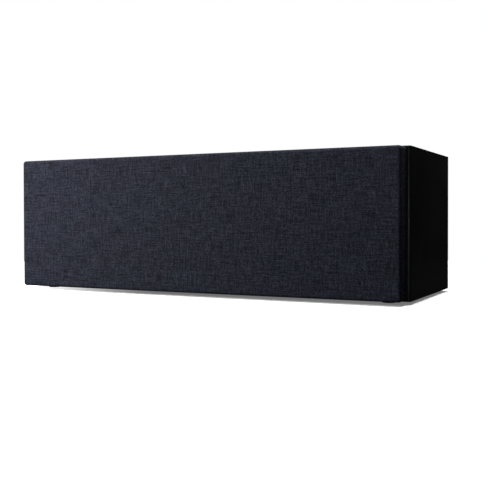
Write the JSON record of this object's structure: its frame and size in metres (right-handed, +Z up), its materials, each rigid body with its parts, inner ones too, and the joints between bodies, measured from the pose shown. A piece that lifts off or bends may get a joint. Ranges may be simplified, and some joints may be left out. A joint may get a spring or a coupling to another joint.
{
  "type": "soundbar",
  "caption": "Compact one-box soundbar: black cabinet with a pull-off cloth grille, woofers and dome tweeters, rear ports, an amplifier plate with sockets, and rubber feet.",
  "frame": {"origin": "centre of the footprint, on the surface that the feet stand on", "axes": "+X to the right as seen from the front, +Y towards the back, +Z up; the grille faces -Y"},
  "size_m": [0.468, 0.1844, 0.153],
  "materials": {
    "black_vinyl": "satin black vinyl wrap over board, with a fine leather-like grain",
    "mdf_board": "black-stained fibreboard",
    "grille_cloth": "dark slate linen-look weave with thicker slub yarns",
    "black_rubber": "matt moulded rubber",
    "black_plastic": "finely textured moulding",
    "black_steel": "satin black powder coat",
    "zinc_steel": "zinc plated",
    "ferrite": "dull sintered ferrite",
    "transformer_core": "varnished steel laminations",
    "cone_pulp": "pressed paper pulp with a fine fibre grain",
    "copper_coil": "enamelled copper wire",
    "spider_linen": "resin-treated corrugated cloth",
    "tweeter_silk": "coated silk",
    "heat_sink_aluminium": "extruded, clear anodised",
    "circuit_board": "green solder resist",
    "smoked_lens": "dark smoked polish"
  },
  "bodies": {
    "cabinet": {"amplifier_plate": "black_steel", "aux_socket": "black_plastic", "cabinet_sleeve": "black_vinyl", "circuit_board": "circuit_board", "divider_left": "mdf_board", "divider_right": "mdf_board", "foot_front_left": "black_rubber", "foot_front_right": "black_rubber", "foot_rear_left": "black_rubber", "foot_rear_right": "black_rubber", "front_baffle": "mdf_board", "grille_cup_bottom_left": "black_rubber", "grille_cup_bottom_right": "black_rubber", "grille_cup_top_left": "black_rubber", "grille_cup_top_right": "black_rubber", "hdmi_socket": "zinc_steel", "heat_sink": "heat_sink_aluminium", "mains_inlet": "black_plastic", "optical_socket": "black_plastic", "plate_screw_bottom_left": "zinc_steel", "plate_screw_bottom_right": "zinc_steel", "plate_screw_top_left": "zinc_steel", "plate_screw_top_right": "zinc_steel", "port_left": "black_plastic", "port_right": "black_plastic", "power_switch": "black_plastic", "rear_panel": "black_vinyl", "sensor_lens": "smoked_lens", "speaker_lead_left": "black_rubber", "speaker_lead_right": "black_rubber", "transformer": "transformer_core", "tweeter_left_faceplate": "black_plastic", "tweeter_left_motor": "ferrite", "tweeter_right_faceplate": "black_plastic", "tweeter_right_motor": "ferrite", "woofer_left_basket": "black_steel", "woofer_left_magnet": "ferrite", "woofer_left_spider": "spider_linen", "woofer_left_surround": "black_rubber", "woofer_left_top_plate": "zinc_steel", "woofer_left_yoke": "zinc_steel", "woofer_right_basket": "black_steel", "woofer_right_magnet": "ferrite", "woofer_right_spider": "spider_linen", "woofer_right_surround": "black_rubber", "woofer_right_top_plate": "zinc_steel", "woofer_right_yoke": "zinc_steel"},
    "grille": {"grille_frame": "black_plastic", "grille_cloth": "grille_cloth"},
    "woofer_left_moving": {"woofer_left_cone": "cone_pulp", "woofer_left_dust_cap": "cone_pulp", "woofer_left_voice_coil": "copper_coil"},
    "woofer_right_moving": {"woofer_right_cone": "cone_pulp", "woofer_right_dust_cap": "cone_pulp", "woofer_right_voice_coil": "copper_coil"},
    "tweeter_left_moving": {"tweeter_left_dome": "tweeter_silk"},
    "tweeter_right_moving": {"tweeter_right_dome": "tweeter_silk"},
    "rocker": {"power_rocker": "black_plastic"},
    "button": {"pairing_button": "black_plastic"},
    "shutter": {"optical_shutter": "black_plastic"}
  },
  "joints": [
    {"name": "grille_pull_off", "type": "slide", "parent": "cabinet", "child": "grille", "axis": [0, -1, 0], "range_m": [0, 0.06]},
    {"name": "woofer_left_travel", "type": "slide", "parent": "cabinet", "child": "woofer_left_moving", "axis": [0, -1, 0], "range_m": [-0.004, 0.004], "stiffness_N_per_m": 1000, "deforming": ["woofer_left_surround", "woofer_left_spider"]},
    {"name": "woofer_right_travel", "type": "slide", "parent": "cabinet", "child": "woofer_right_moving", "axis": [0, -1, 0], "range_m": [-0.004, 0.004], "stiffness_N_per_m": 1000, "deforming": ["woofer_right_surround", "woofer_right_spider"]},
    {"name": "tweeter_left_travel", "type": "slide", "parent": "cabinet", "child": "tweeter_left_moving", "axis": [0, -1, 0], "range_m": [-0.0005, 0.0005], "stiffness_N_per_m": 2000},
    {"name": "tweeter_right_travel", "type": "slide", "parent": "cabinet", "child": "tweeter_right_moving", "axis": [0, -1, 0], "range_m": [-0.0005, 0.0005], "stiffness_N_per_m": 2000},
    {"name": "power_rocker_pivot", "type": "hinge", "parent": "cabinet", "child": "rocker", "pos_m": [-0.018, 0.08915, 0.09507], "axis": [1, 0, 0], "range_deg": [0, 20]},
    {"name": "pairing_button_press", "type": "slide", "parent": "cabinet", "child": "button", "axis": [0, -1, 0], "range_m": [0, 0.0015], "stiffness_N_per_m": 400},
    {"name": "optical_shutter_hinge", "type": "hinge", "parent": "cabinet", "child": "shutter", "pos_m": [0.0137, 0.08835, 0.0753], "axis": [-1, 0, 0], "range_deg": [0, 80], "stiffness_Nm_per_rad": 0.0004, "springref_deg": -17.19}
  ]
}
